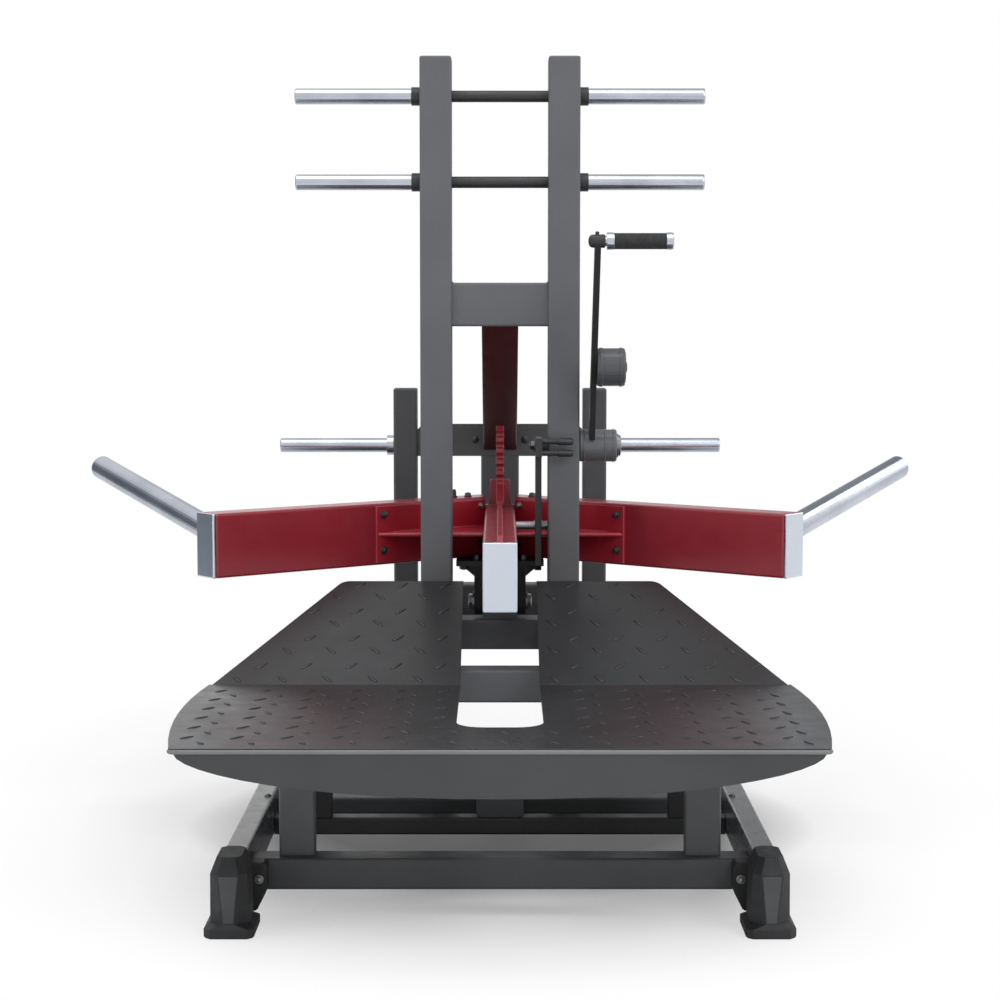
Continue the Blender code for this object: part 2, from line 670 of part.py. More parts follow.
def pivot_lugs():
    """Bearing lugs under the hub, each with a round foot on the shaft and a flange bolted to the arm."""
    inner = PEDESTAL_W / 2 + 2 * GAP
    outer = inner + LUG_T
    top = SIDE_ARM_BOTTOM - GAP
    shoulder = LUG_TOP_D / 2
    outline = arc((PIVOT_Y, PIVOT_Z), LUG_R, 200, 340, 10)
    outline += [(PIVOT_Y + shoulder, top - FLANGE_T), (PIVOT_Y + shoulder, top),
                (PIVOT_Y - shoulder, top), (PIVOT_Y - shoulder, top - FLANGE_T)]
    wing = [(outer - LUG_T / 2, top - WING_H), (outer, top - WING_H * 0.8),
            (inner + FLANGE_W, top - FLANGE_T / 2),
            (outer - LUG_T / 2, top - FLANGE_T / 2)]
    for name, side in SIDES:
        cheek = mirrored(prism(outline, "X", inner, outer), side)
        made = keep(cheek, "pivot_lug_" + name, "black", LEVER_ORIGIN)
        cut(made, mirrored(prism(wing, "Y", PIVOT_Y - WING_T / 2, PIVOT_Y + WING_T / 2), side), "UNION")
        plate = block((outer - LUG_T / 2, PIVOT_Y - shoulder, top - FLANGE_T),
                      (inner + FLANGE_W, PIVOT_Y + shoulder, top))
        cut(made, mirrored(plate, side), "UNION")
        cut(made, rod((-PIVOT_SHAFT_HALF, PIVOT_Y, PIVOT_Z),
                      (PIVOT_SHAFT_HALF, PIVOT_Y, PIVOT_Z), PIVOT_R + GAP))


def central_arm():
    """The arm between the feet, with a rib along its top and a flared gusset at its rear end."""
    body = block((-ARM_W / 2, ARM_FRONT_Y + END_CAP_T + GAP, ARM_BOTTOM),
                 (ARM_W / 2, ARM_REAR_Y, ARM_TOP), along=1)
    made = keep(body, "central_arm", "red", LEVER_ORIGIN)
    cap = block((-ARM_W / 2, ARM_FRONT_Y, ARM_BOTTOM), (ARM_W / 2, ARM_FRONT_Y + END_CAP_T, ARM_TOP))
    bevel(keep(cap, "central_arm_cap", "silver", LEVER_ORIGIN), 0.002, 2)
    base = ARM_TOP - WELD
    front = ARM_FRONT_Y + END_CAP_T + 0.004
    back = RACK_FRONT_Y - RACK_FOOT - GAP
    outline = [(front, base), (back, base), (back, ARM_TOP + RIB_H), (front + 0.02, ARM_TOP + RIB_H * 0.7)]
    cut(made, prism(outline, "X", -RIB_W / 2, RIB_W / 2), "UNION")
    flare = ARM_W / 2 - TUBE_R - GUSSET_TOP_HALF
    height = GUSSET_TOP - base
    side = [(ARM_W / 2 - TUBE_R, base)]
    for i in range(1, 9):
        a = math.radians(90 * i / 8)
        side.append((GUSSET_TOP_HALF + flare * (1 - math.sin(a)),
                     base + WELD + height * 0.55 * (1 - math.cos(a))))
    side.append((GUSSET_TOP_HALF, GUSSET_TOP - 0.004))
    side.append((GUSSET_TOP_HALF - 0.004, GUSSET_TOP))
    outline = side + [(-x, z) for x, z in reversed(side)]
    rear = RACK_FRONT_Y + RACK_D
    cut(made, prism(outline, "Y", rear + GAP, rear + GAP + GUSSET_T), "UNION")


def rack():
    """Notched plate on the hub."""
    base = ARM_TOP + GAP
    rear = RACK_FRONT_Y + RACK_D
    outline = [(rear, base), (rear, RACK_TOP - 0.008), (rear - 0.008, RACK_TOP),
               (RACK_FRONT_Y + 0.006, RACK_TOP)]
    for i in range(RACK_NOTCHES):
        z = RACK_NOTCH_TOP - i * RACK_PITCH
        outline += arc((RACK_FRONT_Y, z), RACK_NOTCH_R, 90, -90, 6)
    foot = RACK_FRONT_Y - RACK_FOOT
    outline += [(RACK_FRONT_Y, base + 0.045), (foot, base + RIB_H), (foot, base)]
    keep(prism(outline, "X", -RACK_T / 2, RACK_T / 2), "rack_plate", "red", LEVER_ORIGIN)


def on_arm(along, across, z=0.0):
    """A point beside the right arm's axis, in plan."""
    return ARM_ORIGIN + ALONG * along + ACROSS * across + Vector((0, 0, z))


def reach_at_face(across):
    """How far along the arm's axis a line beside it meets the central arm's side."""
    return (ARM_FACE - ACROSS.x * across) / ALONG.x


def flat_bar(start, end, inner, outer, low, high):
    """An upright plate or tube beside the right arm's axis.

    It is cut flush with the central arm where it starts there.
    """
    first = reach_at_face(inner) if start is None else start
    second = reach_at_face(outer) if start is None else start
    corners = [on_arm(first, inner), on_arm(end, inner), on_arm(end, outer), on_arm(second, outer)]
    return prism([(p.x, p.y) for p in corners], "Z", low, high)


def side_arms():
    half = ARM_W / 2
    end = SIDE_ARM_END - END_CAP_T - GAP
    for name, side in SIDES:
        arm = flat_bar(None, end, -half, half, SIDE_ARM_BOTTOM, SIDE_ARM_TOP)
        bevel(keep(mirrored(arm, side), "side_arm_" + name, "red", LEVER_ORIGIN), TUBE_R, 2)
        cap = flat_bar(end + GAP, SIDE_ARM_END, -half, half, SIDE_ARM_BOTTOM, SIDE_ARM_TOP)
        bevel(keep(mirrored(cap, side), "side_arm_cap_" + name, "silver", LEVER_ORIGIN), 0.002, 2)


def hub():
    """Brackets on the front faces of the side arms, each a plate with a web to the central arm."""
    inner = -ARM_W / 2 - GAP
    outer = inner - HUB_PLATE_T
    low = SIDE_ARM_MID - HUB_PLATE_H / 2
    line = outer + HUB_PLATE_T / 2
    root = on_arm(reach_at_face(line), line)
    run = (ARM_ORIGIN.y + ACROSS.y * line - WEB_FRONT_Y) / -ALONG.y
    tip = on_arm(run, line)
    outline = [(ARM_FACE, WEB_FRONT_Y), (tip.x, WEB_FRONT_Y), (root.x, root.y)]
    for name, side in SIDES:
        plate = flat_bar(None, HUB_PLATE_END, outer, inner, low, low + HUB_PLATE_H)
        made = keep(mirrored(plate, side), "hub_bracket_" + name, "red", LEVER_ORIGIN)
        web = prism(outline, "Z", SIDE_ARM_MID - WEB_T / 2, SIDE_ARM_MID + WEB_T / 2)
        cut(made, mirrored(web, side), "UNION")


def horns():
    """Loading horns, square to the arms in plan and tilted up, on a collar at the arm's outer face."""
    tilt = ACROSS * math.cos(HORN_TILT) + Vector((0, 0, math.sin(HORN_TILT)))
    place = on_arm(SIDE_ARM_END - HORN_INSET, ARM_W / 2 + GAP, SIDE_ARM_MID + HORN_RAISE)
    start = place + ACROSS * (HORN_COLLAR_T + GAP)
    for name, side in SIDES:
        collar = rod(place, place + ACROSS * HORN_COLLAR_T, HORN_COLLAR_R)
        bevel(keep(mirrored(collar, side), "horn_collar_" + name, "black", LEVER_ORIGIN), 0.002, 2)
        horn = rod(start - tilt * HORN_R, start + tilt * HORN_LENGTH, HORN_R)
        for point in horn.vertices:
            if (point.co - start).dot(tilt) < 0:
                point.co += tilt * ((start - point.co).dot(ACROSS) / tilt.dot(ACROSS))
        bevel(keep(mirrored(horn, side), "horn_" + name, "chrome", LEVER_ORIGIN), 0.003, 2, 60)


def catch_pin():
    pin = rod((ARM_FACE, CATCH_Y, CATCH_Z), (CATCH_END_X, CATCH_Y, CATCH_Z), CATCH_R, 20)
    keep(pin, "catch_pin", "steel", LEVER_ORIGIN)


def release_hub():
    """Outer hub with the shaft that runs through the right upright, turned in one piece."""
    hub_start = UPRIGHT_OUT + GAP
    inner = HOOK_X + HOOK_T / 2 + GAP
    step = hub_start - inner
    end = step + RELEASE_HUB_L
    edge = 0.002
    profile = [(0, 0), (RELEASE_SHAFT_R, 0), (RELEASE_SHAFT_R, step), (RELEASE_HUB_R - edge, step),
               (RELEASE_HUB_R, step + edge), (RELEASE_HUB_R, end - edge),
               (RELEASE_HUB_R - edge, end), (0, end)]
    keep(lathe(profile, (inner, RELEASE_Y, RELEASE_Z), (1, 0, 0)), "release_hub", "black", RELEASE_ORIGIN)


def handle_bar(top):
    """Tapered flat bar from the hub up to the grip."""
    centre = Vector(RELEASE_ORIGIN)
    lean = (top - centre).normalized()
    across = Vector((0, -lean.z, lean.y))
    start = centre + lean * (RELEASE_HUB_R + GAP)
    half = HANDLE_BAR_W / 2
    tip = half * 0.8
    waist = centre + lean * HANDLE_WAIST
    corners = [start - across * HANDLE_FOOT / 2, start + across * HANDLE_FOOT / 2, waist + across * half]
    outline = [(p.y, p.z) for p in corners]
    turn = math.degrees(math.atan2(across.z, across.y))
    outline += arc((top.y, top.z), tip, turn, turn - 180, 8)
    end = waist - across * half
    outline.append((end.y, end.z))
    bar = prism(outline, "X", HANDLE_X - HANDLE_T / 2, HANDLE_X + HANDLE_T / 2)
    keep(bar, "handle_bar", "black", RELEASE_ORIGIN)


def handle_parts():
    """Counterweight on the bar, and the grip on its rod with a ring at each end."""
    top = Vector((0, HANDLE_Y, HANDLE_Z))
    handle_bar(top)
    face = HANDLE_X + HANDLE_T / 2 + GAP
    centre = Vector(RELEASE_ORIGIN)
    weight = centre + (top - centre) * COUNTERWEIGHT_SHARE
    mesh = rod((face, weight.y, weight.z), (face + COUNTERWEIGHT_L, weight.y, weight.z), COUNTERWEIGHT_R)
    bevel(keep(mesh, "counterweight", "black", RELEASE_ORIGIN), 0.002, 2)
    core = GRIP_R * 0.62
    ring = GRIP_R + 0.001
    inner = GRIP_INNER_X - face
    outer = GRIP_OUTER_X - face
    profile = [(0, 0), (core, 0), (core, inner), (ring, inner), (ring, inner + GRIP_END_L),
               (core, inner + GRIP_END_L),
               (core, outer - GRIP_END_L), (ring, outer - GRIP_END_L), (ring, outer - 0.002),
               (ring - 0.002, outer),
               (0, outer)]
    keep(lathe(profile, (face, top.y, top.z), (1, 0, 0)), "handle_rod", "chrome", RELEASE_ORIGIN)
    start = GRIP_INNER_X + GRIP_END_L + GAP
    end = GRIP_OUTER_X - GRIP_END_L - GAP
    sleeve = rod((start, top.y, top.z), (end, top.y, top.z), GRIP_R)
    grip = keep(sleeve, "handle_grip", "rubber", RELEASE_ORIGIN)
    cut(grip, rod((start - WELD, top.y, top.z), (end + WELD, top.y, top.z), core + GAP))


def release_hook():
    """Flat bar that hangs from the shaft, with a fork in front of the upright."""
    low_x, high_x = HOOK_X - HOOK_T / 2, HOOK_X + HOOK_T / 2
    half = HOOK_W / 2
    eye = half * 1.4
    neck_z = RELEASE_Z - 2 * eye
    outline = arc((RELEASE_Y, RELEASE_Z), eye, 0, 180, 10)
    outline += [(RELEASE_Y - half, neck_z), (RELEASE_Y - half, HOOK_BOTTOM + HOOK_CHAMFER),
                (RELEASE_Y - half + HOOK_CHAMFER, HOOK_BOTTOM), (RELEASE_Y + half, HOOK_BOTTOM),
                (RELEASE_Y + half, neck_z)]
    made = keep(prism(outline, "X", low_x, high_x), "release_hook", "black", RELEASE_ORIGIN)
    reach = FORK_SPREAD / 2 + FORK_R + FORK_EDGE
    neck = block((low_x, FORK_Y - FORK_R - FORK_EDGE, RELEASE_Z - reach),
                 (high_x, RELEASE_Y - eye + WELD, RELEASE_Z + reach))
    cut(made, neck, "UNION")
    for offset in (FORK_SPREAD / 2, -FORK_SPREAD / 2):
        z = RELEASE_Z + offset
        cut(made, rod((high_x - WELD, FORK_Y, z), (FORK_END_X, FORK_Y, z), FORK_R, 16), "UNION")


def hook_toe():
    """Catch under the lever's pin.

    Its face is square to the line from the shaft to the pin, so the load can't turn it.
    """
    axis = Vector((RELEASE_Y, RELEASE_Z))
    pin = Vector((CATCH_Y, CATCH_Z))
    load = (pin - axis).normalized()
    slope = Vector((-load.y, load.x))
    seat = pin + load * (CATCH_R + GAP)
    root_y = RELEASE_Y + HOOK_W / 2 + GAP
    root = seat + slope * ((root_y - seat.x) / slope.x)
    tip = seat + slope * TOE_REACH
    outline = [(root.x, root.y), (tip.x, tip.y), (tip.x, tip.y - TOE_TIP_H), (root.x, root.y - TOE_ROOT_H)]
    mesh = prism(outline, "X", HOOK_X - HOOK_T / 2, HOOK_X + HOOK_T / 2)
    keep(mesh, "hook_toe", "black", RELEASE_ORIGIN)


deck_front_plate()
ramp_plates()
apron()
front_legs()
middle_legs()
base_beams()
shoes()
uprights()
storage()
rear_frame()
strut()
pivot()
pivot_lugs()
central_arm()
rack()
side_arms()
hub()
horns()
catch_pin()
release_hub()
handle_parts()
release_hook()
hook_toe()
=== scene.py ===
import bpy
import bmesh
import math
from mathutils import Matrix, Vector


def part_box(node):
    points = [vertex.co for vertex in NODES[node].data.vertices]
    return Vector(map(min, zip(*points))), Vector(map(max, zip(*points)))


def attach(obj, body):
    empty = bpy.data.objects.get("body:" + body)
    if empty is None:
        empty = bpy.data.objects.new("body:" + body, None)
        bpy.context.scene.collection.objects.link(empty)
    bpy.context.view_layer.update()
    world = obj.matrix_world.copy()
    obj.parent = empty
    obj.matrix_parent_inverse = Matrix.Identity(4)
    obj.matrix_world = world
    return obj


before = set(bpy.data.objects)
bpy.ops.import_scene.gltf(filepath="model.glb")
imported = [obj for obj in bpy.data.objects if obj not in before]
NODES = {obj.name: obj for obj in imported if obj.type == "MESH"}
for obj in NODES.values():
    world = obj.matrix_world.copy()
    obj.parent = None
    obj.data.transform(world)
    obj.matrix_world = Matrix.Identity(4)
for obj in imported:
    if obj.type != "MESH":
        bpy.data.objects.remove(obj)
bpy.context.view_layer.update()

SIDES = (("left", -1), ("right", 1))
RIGHT = (1, 0, 0)
LEFT = (-1, 0, 0)
FRONT = (0, -1, 0)
UP = (0, 0, 1)
DOWN = (0, 0, -1)


def linear(hex_colour):
    """An sRGB hex colour as the linear values that Blender's sockets take."""
    out = []
    for i in (0, 2, 4):
        value = int(hex_colour[i:i + 2], 16) / 255
        out.append(value / 12.92 if value <= 0.04045 else ((value + 0.055) / 1.055) ** 2.4)
    return (*out, 1)


class Tree:
    """Short calls for building a node tree."""

    def __init__(self, tree):
        self.tree = tree

    def put(self, socket, value):
        """Links an input to the output of another node, or sets it to a plain value."""
        if isinstance(value, bpy.types.NodeSocket):
            self.tree.links.new(value, socket)
        else:
            socket.default_value = value

    def fill(self, node, inputs):
        """Puts a node's inputs, by Blender's names with an underscore for each space."""
        for name, value in inputs.items():
            self.put(node.inputs[name.replace("_", " ")], value)

    def add(self, kind, **inputs):
        node = self.tree.nodes.new("ShaderNode" + kind)
        self.fill(node, inputs)
        return node

    def operate(self, kind, operation, *values):
        """The result of a Math or VectorMath node."""
        node = self.add(kind)
        node.operation = operation
        for socket, value in zip(node.inputs, values):
            self.put(socket, value)
        return node.outputs["Value"]

    def spread(self, value, low, high, start=0.3, end=0.7):
        """Goes from low to high while the value goes from start to end."""
        node = self.add("MapRange", Value=value, From_Min=start, From_Max=end, To_Min=low, To_Max=high)
        return node.outputs["Result"]

    def mix_shaders(self, share, first, second):
        node = self.add("MixShader")
        for socket, value in zip(node.inputs, (share, first, second)):
            self.put(socket, value)
        return node.outputs[0]

    def seen(self):
        """1 for rays from the camera, straight or through a clear surface."""
        rays = self.add("LightPath").outputs
        return self.operate("Math", "MAXIMUM", rays["Is Camera Ray"], rays["Is Transmission Ray"])


class Material(Tree):
    """A new material, its shader and the coordinates of the piece that it is on."""

    def __init__(self, name):
        self.mat = bpy.data.materials.new(name)
        self.mat.use_nodes = True
        super().__init__(self.mat.node_tree)
        self.shader = self.tree.nodes["Principled BSDF"]
        self.object = self.add("TexCoord").outputs["Object"]

    def surface(self, **inputs):
        self.fill(self.shader, inputs)

    def noise(self, scale, detail):
        node = self.add("TexNoise", Vector=self.object, Scale=scale, Detail=detail, Roughness=0.55)
        return node.outputs["Fac"]

    def tones(self, value, dark, light, start=0.3, end=0.7):
        """A colour that goes from dark to light while the value goes from start to end."""
        node = self.add("ValToRGB", Fac=value)
        for mark, place, colour in zip(node.color_ramp.elements, (start, end), (dark, light)):
            mark.position = place
            mark.color = linear(colour)
        return node.outputs["Color"]

    def mix(self, share, first, second):
        node = self.add("Mix")
        node.data_type = "RGBA"
        self.fill(node, {"Factor": share, "A": first, "B": second})
        return node.outputs["Result"]

    def rounded(self, radius):
        """Normals that round every edge by a small radius."""
        bevel = self.add("Bevel", Radius=radius)
        bevel.samples = 4
        return bevel.outputs["Normal"]

    def edges(self, rounded):
        """1 on edges, where the rounded normal leaves the plain one, and 0 elsewhere."""
        plain = self.add("NewGeometry").outputs["Normal"]
        return self.spread(self.operate("VectorMath", "DOT_PRODUCT", rounded, plain), 1, 0, 0.8, 0.99)

    def bump(self, height, distance, normal=None):
        node = self.add("Bump", Height=height, Distance=distance)
        if normal:
            self.put(node.inputs["Normal"], normal)
        self.surface(Normal=node.outputs["Normal"])


def powder_coat(name, dark, light, edge, roughness=(0.42, 0.56), metallic=0.0, specular=0.5, grain=900,
                depth=0.00012):
    """Textured paint: fine orange peel, slow changes of tone and lighter edges that are partly wear and
    partly a painted highlight.
    """
    look = Material(name)
    tone = look.tones(look.noise(3.2, 6), dark, light)
    normal = look.rounded(0.0022)
    # Edges are mixed towards the lighter edge tone in patches: partly wear, partly a painted highlight.
    edge_patches = look.spread(look.noise(38, 5), 0.15, 0.6)
    wear_and_highlight = look.operate("Math", "MULTIPLY", look.edges(normal), edge_patches)
    look.surface(Base_Color=look.mix(wear_and_highlight, tone, linear(edge)), Metallic=metallic,
                 Roughness=look.spread(look.noise(24, 5), *roughness), Specular_IOR_Level=specular)
    look.bump(look.noise(grain, 2), depth, normal)
    return look.mat


def gloss_paint(name, dark, light, edge):
    """Lacquered metallic paint with fine flakes, a clear coat and a painted highlight along its edges."""
    look = Material(name)
    flakes = look.tones(look.noise(2600, 1), dark, light, 0.35, 0.75)
    body = look.mix(look.spread(look.noise(4, 5), 0, 0.45), flakes, linear(dark))
    normal = look.rounded(0.003)
    # Painted highlight: the edges are mixed towards the pale edge tone.
    paler = look.spread(look.edges(normal), 0, 0.55, 0, 1)
    look.surface(Base_Color=look.mix(paler, body, linear(edge)), Metallic=0.15,
                 Roughness=look.spread(look.noise(30, 4), 0.30, 0.42), Coat_Weight=0.35, Coat_Roughness=0.16)
    look.bump(look.noise(260, 3), 0.00005, normal)
    return look.mat


def bare_metal(name, dark, light, roughness, grain, depth=0.00002):
    """Polished or turned metal with fine tool marks and faint smudges."""
    look = Material(name)
    marks = look.noise(grain, 3)
    look.surface(Base_Color=look.tones(look.noise(14, 5), dark, light, 0.35, 0.65), Metallic=1.0,
                 Roughness=look.spread(marks, *roughness))
    look.bump(marks, depth, look.rounded(0.0008))
    return look.mat


def moulded(name, dark, light, roughness, depth):
    """Moulded rubber or plastic with a fine grain."""
    look = Material(name)
    look.surface(Base_Color=look.tones(look.noise(18, 5), dark, light),
                 Roughness=look.spread(look.noise(60, 4), *roughness))
    look.bump(look.noise(420, 3), depth, look.rounded(0.0015))
    return look.mat


def grip_material():
    """Dark grip with fine rings round it."""
    look = Material("grip_rubber")
    rings = look.add("TexWave", Vector=look.object, Scale=95, Distortion=0.4)
    rings.bands_direction = "X"
    look.surface(Base_Color=look.tones(look.noise(90, 4), "17181a", "232427"),
                 Roughness=look.spread(look.noise(120, 3), 0.62, 0.8))
    look.bump(rings.outputs["Fac"], 0.0006)
    return look.mat


# Paints and metals: the dark and the light tone, for paint the tone of its edges, which is a painted
# highlight and on powder coat also wear, then the range of roughness
GREY = powder_coat("grey_paint", "4d4f52", "5b5d61", "85888c")
REAR_GREY = powder_coat("rear_grey_paint", "393b3d", "444648", "66696c")
APRON_GREY = powder_coat("apron_grey_paint", "303234", "393b3d", "5c5f63")
BASE_GREY = powder_coat("base_grey_paint", "37393b", "434547", "66696c")
# Painted light: lighter than the other base beams, for the light that falls on the side rails' tops; also
# glossier.
LIT_RAIL_GREY = powder_coat("lit_side_rail_paint", "494b4d", "56585a", "7f8285", (0.2, 0.3), specular=0.65)
HUB_GREY = powder_coat("hub_grey_paint", "404245", "4f5155", "7a7d81", (0.28, 0.4))
RELEASE_GREY = powder_coat("release_grey_paint", "55575a", "626468", "8a8d91", (0.28, 0.4))
# Painted light: a lighter copy of the beams' grey for the front legs, which are the same paint but catch more
# light.
LIT_LEG_GREY = powder_coat("lit_leg_grey_paint", "434547", "4f5153", "6f7276")
DECK = powder_coat("deck_plate", "242526", "2c2d2f", "505255", (0.27, 0.36), specular=0.42, grain=500,
                   depth=0.00005)
# Painted shade: the lugs take a darker copy of the deck plate's paint, for their shaded sides.
TREAD = powder_coat("deck_tread", "1f2021", "27282a", "3e4043", (0.34, 0.44), grain=700)
# Painted highlight: the rolled lip is a lighter grey than the apron, for the light along its bend.
LIP = powder_coat("deck_lip", "66696b", "757879", "8d9092", (0.3, 0.4))
RED = gloss_paint("red_paint", "7d1120", "a8283a", "c9727e")
# Painted light: a lighter copy of the red paint for the hub brackets and web noses, which are the same paint
# as the arms.
LIT_HUB_RED = gloss_paint("lit_hub_red_paint", "961524", "c02c42", "d98c97")
# Painted shade: a darker copy of the red paint for the struts, which stand in shadow.
SHADED_RED = gloss_paint("dark_red_paint", "320a10", "4a1119", "6a2c33")
CHROME = bare_metal("chrome", "adb2bd", "bcc1cb", (0.2, 0.27), 300, 0.000004)
SILVER = powder_coat("silver_cap", "c6cdd8", "d1d8e2", "dde2ea", (0.2, 0.26), metallic=1.0, grain=1200,
                     depth=0.00001)
STEEL = bare_metal("bright_steel", "85878b", "9c9ea2", (0.28, 0.42), 500)
BOLT_GREY = bare_metal("bolt_grey", "4c4e51", "63666a", (0.36, 0.5), 700)
BLACK = powder_coat("black_paint", "1d1e20", "28292b", "4b4d50", (0.4, 0.55), grain=1100, depth=0.0001)
RUBBER = moulded("black_rubber_foot", "1c1d1f", "27282a", (0.5, 0.66), 0.0002)
SHOE_PANEL = moulded("shoe_panel", "3a3c3e", "46484a", (0.42, 0.56), 0.00015)
GRIP = grip_material()

# The material of a CAD node, by the start of its name
BY_START = (
    (("front_beam", "upright_beam", "rear_beam"), BASE_GREY),
    # Partly painted shade: the middle beam takes the black paint, which also stands in for the shade under
    # the deck.
    (("middle_beam", "middle_leg", "storage_bar", "pivot_lug", "horn_collar"), BLACK),
    (("release_hook", "hook_toe", "handle_bar"), BLACK),
    (("deck_apron",), APRON_GREY),
    (("front_leg",), LIT_LEG_GREY),
    (("side_beam",), LIT_RAIL_GREY),
    (("counterweight",), HUB_GREY),
    (("release_hub",), RELEASE_GREY),
    (("rear_upright", "rear_cross"), REAR_GREY),
    (("deck_front_plate", "ramp_plate"), DECK),
    (("shoe",), RUBBER),
    (("strut",), SHADED_RED),
    (("handle_grip",), GRIP),
    (("handle_rod", "horn_left", "horn_right", "storage_sleeve", "rear_peg"), CHROME),
    (("pivot_shaft", "catch_pin"), STEEL),
    (("hub_bracket",), LIT_HUB_RED),
    (("central_arm", "rack_plate", "side_arm"), RED),
)


def material_of(node):
    """Silver for the end caps, then the table above, and grey for every other node."""
    if "_cap" in node:
        return SILVER
    for starts, mat in BY_START:
        if node.startswith(starts):
            return mat
    return GREY


for node_name, item in NODES.items():
    item.data.materials.clear()
    item.data.materials.append(material_of(node_name))


def piece(bm, name, mat, body, smooth=40):
    """Turns a bmesh in world space into a piece of the scene."""
    bmesh.ops.recalc_face_normals(bm, faces=bm.faces)
    mesh = bpy.data.meshes.new(name)
    bm.to_mesh(mesh)
    bm.free()
    mesh.materials.append(mat)
    mesh.shade_smooth()
    mesh.set_sharp_from_angle(angle=math.radians(smooth))
    made = bpy.data.objects.new(name, mesh)
    bpy.context.scene.collection.objects.link(made)
    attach(made, body)


def skin(bm, rings):
    """Joins rings of vertices with faces and closes both ends."""
    for low, high in zip(rings, rings[1:]):
        for i in range(len(low)):
            j = (i + 1) % len(low)
            bm.faces.new((low[i], low[j], high[j], high[i]))
    bm.faces.new(rings[0])
    bm.faces.new(rings[-1])


def turned(bm, profile, centre, direction, segments=32):
    """Adds a solid of revolution. The profile gives (radius, height) pairs from the seat outwards."""
    turn = Vector(direction).to_track_quat("Z", "Y").to_matrix()
    rings = []
    for radius, height in profile:
        ring = []
        for i in range(segments):
            a = 2 * math.pi * i / segments
            point = turn @ Vector((radius * math.cos(a), radius * math.sin(a), height)) + Vector(centre)
            ring.append(bm.verts.new(point))
        rings.append(ring)
    skin(bm, rings)


WASHER_HEIGHT = 0.0018


def hex_bolt(bm, centre, direction, radius, height):
    """A washer and a hexagon head with chamfered corners, both seated on the surface."""
    direction = Vector(direction).normalized()
    centre = Vector(centre)
    rim = radius * 1.28
    washer = [(rim - 0.0004, 0), (rim, 0.0004), (rim, 0.0014), (rim - 0.0004, WASHER_HEIGHT)]
    turned(bm, washer, centre, direction, 28)
    top = centre + direction * WASHER_HEIGHT
    turned(bm, [(radius, 0), (radius, height * 0.82), (radius * 0.86, height)], top, direction, 6)
    dome = top + direction * height
    turned(bm, [(radius * 0.55, 0), (radius * 0.52, 0.0007), (radius * 0.4, 0.001)], dome, direction, 20)


def button_bolt(bm, centre, direction, radius):
    """A washer and a low domed head with a raised hexagon in the middle."""
    direction = Vector(direction).normalized()
    centre = Vector(centre)
    washer = [(radius * 1.25, 0), (radius * 1.25, 0.0014), (radius * 1.2, WASHER_HEIGHT)]
    turned(bm, washer, centre, direction, 28)
    seat = centre + direction * WASHER_HEIGHT
    angles = [math.radians(12 * i) for i in range(6)]
    dome = [(radius * math.cos(a), radius * 0.45 * math.sin(a)) for a in angles]
    turned(bm, dome, seat, direction, 28)
    top = seat + direction * (dome[-1][1] - 0.0002)
    turned(bm, [(radius * 0.42, 0), (radius * 0.42, 0.0005), (radius * 0.3, 0.0006)], top, direction, 6)


def both_sides(point):
    """A point and its mirror image on the other side of the machine."""
    return Vector(point), Vector((-point[0], point[1], point[2]))


# The flat plate of the deck, with the open slot in it, and the two ramps behind its break
DECK_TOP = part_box("deck_front_plate")[1].z
DECK_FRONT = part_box("deck_front_plate")[0].y
BREAK_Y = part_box("deck_front_plate")[1].y
RAMP_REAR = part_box("ramp_plate_right")[1].y
RAMP_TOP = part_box("ramp_plate_right")[1].z
RAMP_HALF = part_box("ramp_plate_right")[1].x
RAMP_REAR_HALF = 0.30
SLOT_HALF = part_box("ramp_plate_right")[0].x
SLOT_END = -0.566
SLOPE = math.atan2(RAMP_TOP - DECK_TOP, RAMP_REAR - BREAK_Y)

# Half the width of the flat plate at its break, how much less it is in front, and how far the sides bow out
BREAK_HALF = 0.514
FRONT_TAPER = 0.014
SIDE_BOW = 0.021

# The tread has two lugs to a cell. Each gives its first x and y, its lean in degrees and its length
FRONT_CELL = (0.0775, 0.0845)
FRONT_LUGS = ((-0.0195, 0.005, 45, 0.029), (0.0065, 0.047, 116, 0.031))
RAMP_CELL = (0.0805, 0.0965)
RAMP_LUGS = ((-0.025, 0.0615, 43, 0.030), (0.015, 0.0185, 130, 0.030))
LUG_WIDTH = 0.0088
LUG_HEIGHT = 0.0017
LUG_CORNERS = 10
# Shares of a lug's outline and height, from its foot to its top
LUG_ROWS = ((1.0, 0.0), (0.82, 0.6), (0.45, 0.95))
# How far the tread stays from the edges, from the break, and from the cut corners at the ramps' rear
TREAD_MARGIN = 0.014
BREAK_MARGIN = 0.03
CORNER_LENGTH = 0.04
CORNER_WIDTH = 0.02


def lug(bm, place, lean, length):
    """One raised teardrop of the tread, round at one end and pointed at the other."""
    turn = Matrix.Rotation(math.radians(lean), 4, "Z")
    rings = []
    for share, lift in LUG_ROWS:
        ring = []
        for i in range(LUG_CORNERS):
            a = 2 * math.pi * i / LUG_CORNERS
            taper = 1 - 0.55 * max(0, math.cos(a))
            x = length / 2 * math.cos(a) * share
            y = LUG_WIDTH / 2 * math.sin(a) * share * taper
            ring.append(bm.verts.new(place @ (turn @ Vector((x, y, LUG_HEIGHT * lift)))))
        rings.append(ring)
    skin(bm, rings)


def lattice(first, pitch, low, high):
    """Places along one line of the tread, a pitch apart, between two limits."""
    count = math.ceil((low - first) / pitch)
    while first + count * pitch < high:
        yield first + count * pitch
        count += 1


def deck_half(y):
    """Half the width of the flat plate at one depth, with its bowed sides."""
    share = (BREAK_Y - y) / (BREAK_Y - DECK_FRONT)
    return BREAK_HALF - FRONT_TAPER * share + SIDE_BOW * 4 * share * (1 - share)


